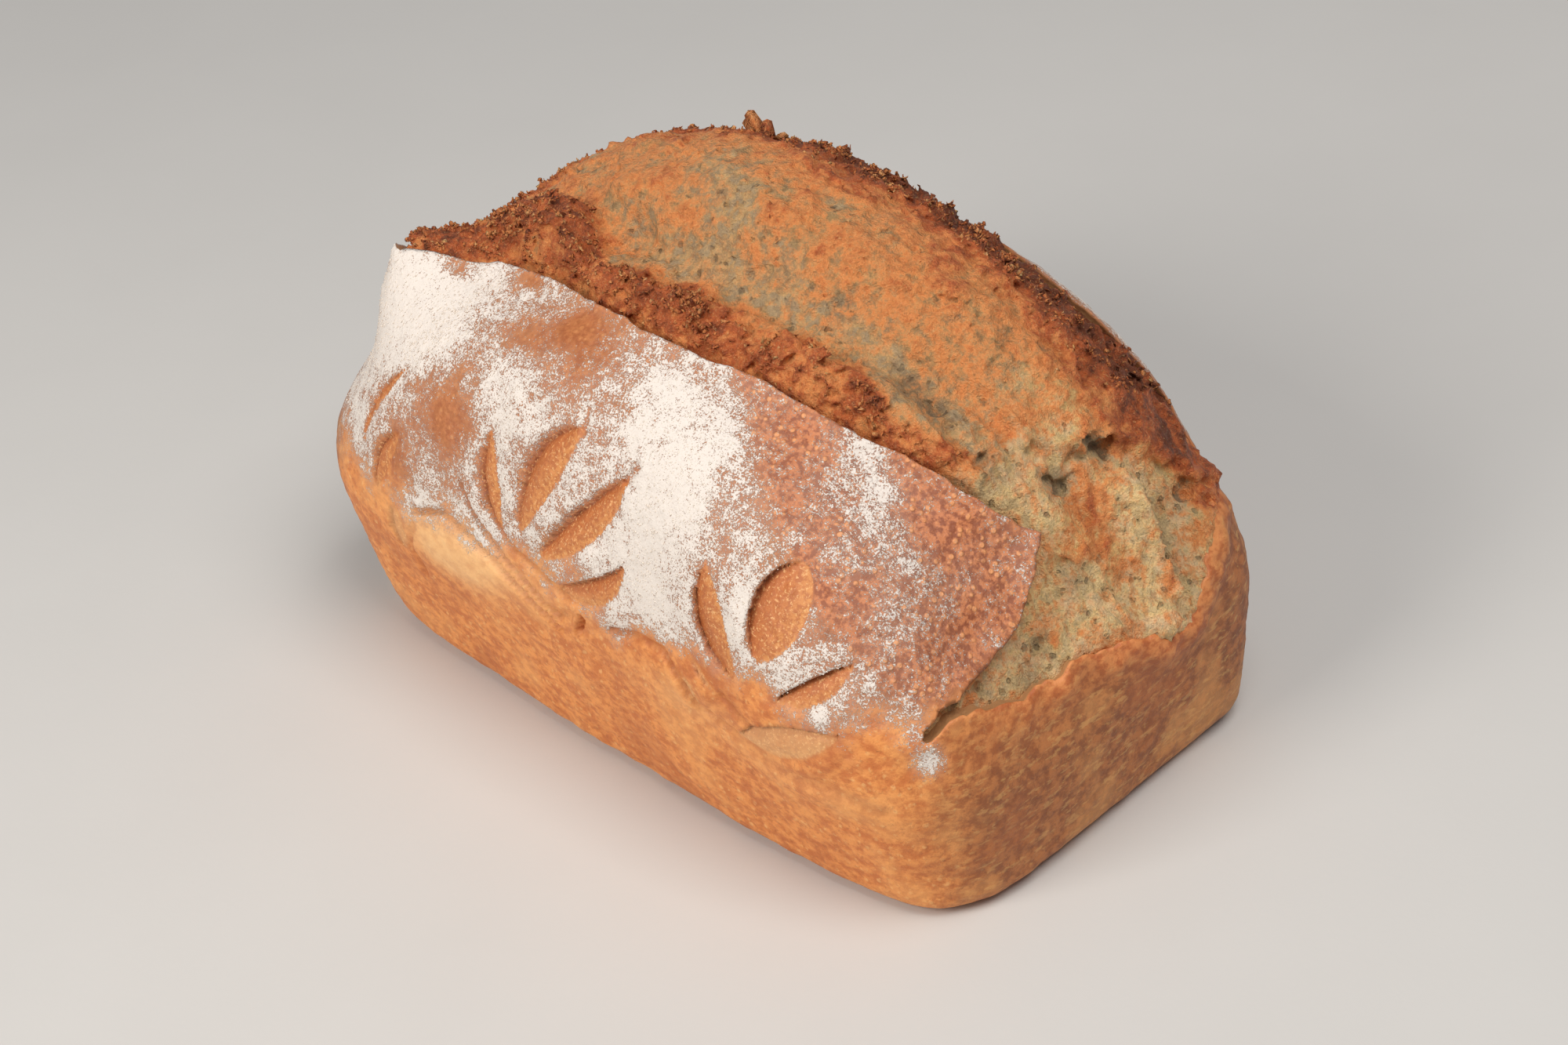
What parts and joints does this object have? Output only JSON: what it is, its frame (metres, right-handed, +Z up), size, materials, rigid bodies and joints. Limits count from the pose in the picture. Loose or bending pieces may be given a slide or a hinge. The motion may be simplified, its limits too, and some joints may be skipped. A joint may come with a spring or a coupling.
{
  "type": "spelt bread loaf",
  "caption": "Tin-baked spelt loaf with a floured crust, leaf cuts on one side and a burst top, resting on its flat base.",
  "frame": {"origin": "middle of the flat base that the loaf rests on", "axes": "+X along the loaf towards the end with the open burst, -Y towards the side with the leaf cuts, +Z up"},
  "size_m": [0.2084, 0.126, 0.1173],
  "materials": {
    "crust": "baked spelt crust: golden brown walls, floured skin, torn crumb on top"
  },
  "bodies": {
    "root": {"loaf": "crust"}
  },
  "joints": []
}
